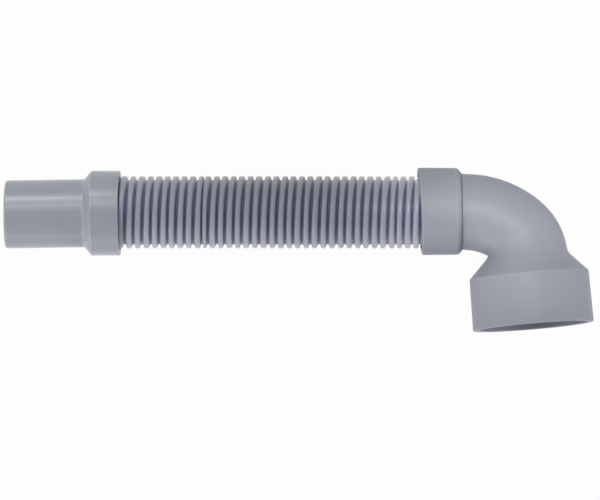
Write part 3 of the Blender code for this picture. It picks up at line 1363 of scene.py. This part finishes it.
    def collar_rings(self, profile: np.ndarray) -> np.ndarray:
        """A profile turned about the hose's axis, with its mouth leaning a little.

        A point moves along X by y and z times the skew, which runs from the mouth's to the other
        end's, and fades to nothing beyond the collar. The outside also moves along Y.

        Args:
            profile: Rows of (x, radius).

        Returns:
            The rings in the hose's axes.
        """
        rings = rings_from_profile(profile, self.around)
        stations = (self.start, self.collar_end, self.bend_start)
        outside = np.clip((profile[:, 1] - self.shared.collar_bore) / self.lift_reach, 0.0, 1.0)
        rings[:, :, 1] += (self.collar_lift * outside)[:, None]
        for axis in (0, 1):
            slopes = (self.mouth_skew[axis], self.back_skew[axis], 0.0)
            skew = np.interp(rings[:, :, 0], stations, slopes)
            rings[:, :, 0] += skew * rings[:, :, axis + 1]
        return rings

    def collar_profile(self) -> np.ndarray:
        """The collar's profile, from the floor of the hose's seat round the mouth to the tube.

        Returns:
            Rows of (x, radius, edge).
        """
        seat = self.shared.collar_bore
        back = self.collar_radius - self.collar_length * tan(self.collar_draft)
        profile = rounded_profile([
            Corner(self.seat_floor, seat),
            Corner((self.start + self.seat_floor) / 2, seat),
            Corner(self.start, seat, self.inner_rounding),
            Corner(self.start, self.collar_radius, self.collar_lip),
            Corner((self.start + self.collar_end) / 2, (self.collar_radius + back) / 2),
            Corner(self.collar_end, back, self.collar_back),
            Corner(self.collar_end, self.tube_radius, self.root_rounding),
            Corner(self.bend_start, self.tube_radius),
        ], steps=self.arc_steps)
        return profile[:-1]

    def socket_profile(self) -> np.ndarray:
        """The socket's profile, from the shoulder round the mouth and back to the stop.

        Returns:
            Rows of (depth from the shoulder, radius, edge).
        """
        slope, draft = tan(self.flare_angle), tan(self.socket_draft)
        bend_end = -self.beyond_bend
        mouth = self.shoulder_radius + self.socket_length * draft
        bore_mouth = self.socket_bore + self.socket_length * draft
        profile = rounded_profile([
            Corner(bend_end, self.shoulder_radius + bend_end * slope),
            Corner(0.0, self.shoulder_radius, self.shoulder_rounding),
            Corner(self.socket_length / 2, (self.shoulder_radius + mouth) / 2),
            Corner(self.socket_length, mouth, self.socket_lip),
            Corner(self.socket_length, bore_mouth, self.mouth_rounding),
            Corner(self.socket_length / 2, (self.socket_bore + bore_mouth) / 2),
            Corner(0.0, self.socket_bore, self.inner_rounding),
            Corner(0.0, self.throat, self.inner_rounding),
            Corner(bend_end, self.throat + bend_end * slope),
        ], steps=self.arc_steps)
        return profile[1:-1]

    def build(self, axes: HoseAxes) -> bpy.types.Object:
        """The whole elbow, from the collar's seat along the outside and back through the bore.

        Args:
            axes: Where the hose's axes lie.

        Returns:
            The elbow's object.
        """
        collar, socket = self.collar_profile(), self.socket_profile()
        outer_bend = self.bend_rings_at(self.tube_radius, self.shoulder_radius)
        inner_bend = self.bend_rings_at(self.tube_bore, self.throat)[::-1]
        step = rings_from_profile(np.array([(self.seat_floor, self.tube_bore)]), self.around)
        rings = np.concatenate((
            self.collar_rings(collar),
            outer_bend,
            self.socket_rings(socket),
            inner_bend,
            step,
        ))
        edge = np.concatenate((
            collar[:, 2],
            np.zeros(len(outer_bend)),
            socket[:, 2],
            np.zeros(len(inner_bend) + len(step)),
        ))
        return closed_piece("elbow_socket_skin", rings, edge, axes)


@dataclass(frozen=True)
class Lamp:
    """A soft lamp that faces a point.

    Attributes:
        name: Its name.
        aim: The point that it faces, in the hose's axes.
        way: The way to it from that point.
        away: How far it is.
        power: Its power in watts.
    """

    name: str
    aim: tuple[float, float, float]
    way: tuple[float, float, float]
    away: float
    power: float

    def light(self) -> bpy.types.Light:
        """Makes the light itself, each kind of lamp in its own way."""
        raise NotImplementedError

    def hang(self, axes: HoseAxes) -> None:
        """Puts the lamp in its place, turned to its point.

        Args:
            axes: Where the hose's axes lie.
        """
        lamp = bpy.data.objects.new(self.name, self.light())
        direction = axes.direction(self.way).normalized()
        lamp.location = Vector(axes.place(np.array(self.aim))) + self.away * direction
        lamp.rotation_mode = "QUATERNION"
        lamp.rotation_quaternion = (-direction).to_track_quat("-Z", "Y")
        bpy.context.scene.collection.objects.link(lamp)


@dataclass(frozen=True)
class Panel(Lamp):
    """A rectangular lamp.

    Attributes:
        sides: Its two sides.
    """

    sides: tuple[float, float]

    def light(self) -> bpy.types.Light:
        """Makes the rectangle's light.

        Returns:
            The light.
        """
        light = bpy.data.lights.new(self.name, "AREA")
        light.shape = "RECTANGLE"
        light.size, light.size_y = self.sides
        light.energy = self.power
        return light


@dataclass(frozen=True)
class Spot(Lamp):
    """A small round lamp whose light fades out round the point that it faces.

    Attributes:
        cone: The whole angle of its cone.
        fade: The share of the cone over which its light fades.
        bulb: The radius that its light comes from.
    """

    cone: float
    fade: float = 1.0
    bulb: float = 30.0 * MM

    def light(self) -> bpy.types.Light:
        """Makes the cone's light.

        Returns:
            The light.
        """
        light = bpy.data.lights.new(self.name, "SPOT")
        light.energy = self.power
        light.spot_size = self.cone
        light.spot_blend = self.fade
        light.shadow_soft_size = self.bulb
        return light


PICTURE_MIDDLE = (138.95 * MM, -17.8 * MM, 0.0)
ELBOW_LIGHT = Spot(
    name="elbow_light",
    aim=(238.5 * MM, -6.0 * MM, 0.0),
    way=(0.05, 0.20, 0.98),
    away=0.9,
    power=24.0,
    cone=0.18,
)
CUFF_LIGHT = Spot(
    name="cuff_light",
    aim=(30.0 * MM, 0.0, 0.0),
    way=(-0.20, 0.74, 0.60),
    away=0.9,
    power=9.5,
    cone=0.18,
)
LOW_LIGHT = Panel(
    name="low_light",
    aim=PICTURE_MIDDLE,
    way=(-0.56, -0.82, 0.10),
    away=1.2,
    power=7.6,
    sides=(0.9, 0.25),
)
STRIP_LIGHT = Panel(
    name="strip_light",
    aim=PICTURE_MIDDLE,
    way=(-0.34, 0.34, 0.88),
    away=1.4,
    power=5.6,
    sides=(1.0, 0.40),
)
SIDE_LIGHT = Panel(
    name="side_light",
    aim=PICTURE_MIDDLE,
    way=(0.93, -0.36, 0.03),
    away=0.8,
    power=2.3,
    sides=(0.3, 0.1),
)


@dataclass
class Studio:
    """A pale floor, soft lights and the photograph's camera.

    Attributes:
        axes: The hose's axes.
        aim: The point of the hose's axes at the middle of the picture.
        distance: How far the camera is from it.
        picture_width: The picture's width in pixels.
        pixel: How much of the object's plane a pixel takes in.
        toward_mouth: How far the view leans towards the socket's mouth.
        toward_elbow: How far it leans towards the elbow's end.
        sensor: The width of the camera's sensor in millimetres.
        seen_from: How near to the camera the picture starts.
        seen_to: How far from the camera it ends.
        floor_side: The floor's side.
        floor_white: How pale the floor is where light falls on it.
        floor_lift: How much of the floor's own white the camera and reflections see.
        air: How strongly the sky lights the object.
        lamps: The lamps.
    """

    axes: HoseAxes
    aim: tuple[float, float, float] = PICTURE_MIDDLE
    distance: float = 8.0
    picture_width: int = 600
    pixel: float = 0.4706 * MM
    toward_mouth: float = radians(3.2)
    toward_elbow: float = radians(2.9)
    sensor: float = 36.0
    seen_from: float = 0.1
    seen_to: float = 20.0
    floor_side: float = 6.0
    floor_white: float = 0.60
    floor_lift: float = 0.97
    air: float = 0.46
    lamps: tuple[Lamp, ...] = (ELBOW_LIGHT, CUFF_LIGHT, LOW_LIGHT, STRIP_LIGHT, SIDE_LIGHT)

    def camera(self) -> None:
        """Sets up a camera with a long lens, over the elbow's plane.

        The way back to the camera is the elbow's normal, leaned towards the mouth and the elbow's
        end. The picture's right is the hose's X made square to it.
        """
        lean = (tan(self.toward_elbow), -tan(self.toward_mouth), 1.0)
        back = self.axes.direction(lean).normalized()
        right = self.axes.direction((1.0, 0.0, 0.0))
        right = (right - right.dot(back) * back).normalized()
        turn = Matrix((right, back.cross(right), back)).transposed()
        data = bpy.data.cameras.new("photo_camera")
        data.sensor_width = self.sensor
        data.lens = self.sensor * self.distance / (self.picture_width * self.pixel)
        data.clip_start = self.seen_from
        data.clip_end = self.seen_to
        camera = bpy.data.objects.new("photo_camera", data)
        aim = Vector(self.axes.place(np.array(self.aim)))
        camera.matrix_world = Matrix.Translation(aim + self.distance * back) @ turn.to_4x4()
        bpy.context.scene.collection.objects.link(camera)
        bpy.context.scene.camera = camera

    def floor_material(self) -> bpy.types.Material:
        """A matte white that looks whiter to the camera and in reflections.

        Returns:
            The material.
        """
        material = bpy.data.materials.new("pale_floor")
        material.use_nodes = True
        kit = ShaderKit(material.node_tree)
        kit.tree.nodes.clear()
        matte = kit.node("ShaderNodeBsdfDiffuse")
        matte.inputs["Color"].default_value = (self.floor_white,) * 3 + (1.0,)
        glow = kit.node("ShaderNodeEmission")
        glow.inputs["Color"].default_value = (1.0, 1.0, 1.0, 1.0)
        glow.inputs["Strength"].default_value = 1.0
        mix = kit.node("ShaderNodeMixShader")
        kit.link(kit.math("MULTIPLY", kit.seen(), self.floor_lift), mix.inputs["Fac"])
        kit.link(matte.outputs[0], mix.inputs[1])
        kit.link(glow.outputs[0], mix.inputs[2])
        kit.link(mix.outputs[0], kit.node("ShaderNodeOutputMaterial").inputs["Surface"])
        return material

    def floor(self) -> None:
        """Lays a square floor that takes the shadow."""
        half = self.floor_side / 2
        corners = [(-half, -half, 0.0), (half, -half, 0.0), (half, half, 0.0), (-half, half, 0.0)]
        mesh = bpy.data.meshes.new("floor")
        mesh.from_pydata(corners, [], [(0, 1, 2, 3)])
        mesh.materials.append(self.floor_material())
        linked_object("floor", mesh)

    def world(self) -> None:
        """Sets up an even pale sky that is white to the camera and in reflections."""
        world = bpy.data.worlds.new("studio_air")
        world.use_nodes = True
        kit = ShaderKit(world.node_tree)
        background = world.node_tree.nodes["Background"]
        background.inputs["Color"].default_value = (1.0, 1.0, 1.0, 1.0)
        kit.link(kit.math("MAXIMUM", kit.seen(), self.air), background.inputs["Strength"])
        bpy.context.scene.world = world

    def build(self) -> None:
        """Sets up the camera, the floor, the sky and the lamps, and shows colours as they are."""
        self.camera()
        self.floor()
        self.world()
        for lamp in self.lamps:
            lamp.hang(self.axes)
        bpy.context.scene.view_settings.view_transform = "Standard"


def main() -> None:
    """Builds the cuff, the hose, the elbow and the studio."""
    logging.basicConfig(level=logging.INFO, format="%(name)s: %(message)s")
    shared = HoseSizes()
    cuff = SpigotCuff(shared)
    elbow = ElbowSocket(shared, start=cuff.end + shared.exposed_length)
    hose = RibbedHose(
        shared,
        start=cuff.seat_floor + shared.glue_gap,
        end=elbow.seat_floor - shared.glue_gap,
    )
    axes = HoseAxes.from_mounts(frame["record"]["mounts"], cuff.face_radius)
    groups = {"mottle_and_painted_light": mottle_and_painted_light_group(), "moulded_grain": moulded_grain_group()}
    for piece in (cuff, hose, elbow):
        skin = piece.build(axes)
        piece.dress(skin, axes, groups)
        log.info("%s: %d faces for node %s", skin.name, len(skin.data.polygons), piece.node)
    Studio(axes).build()


if __name__ == "__main__":
    main()
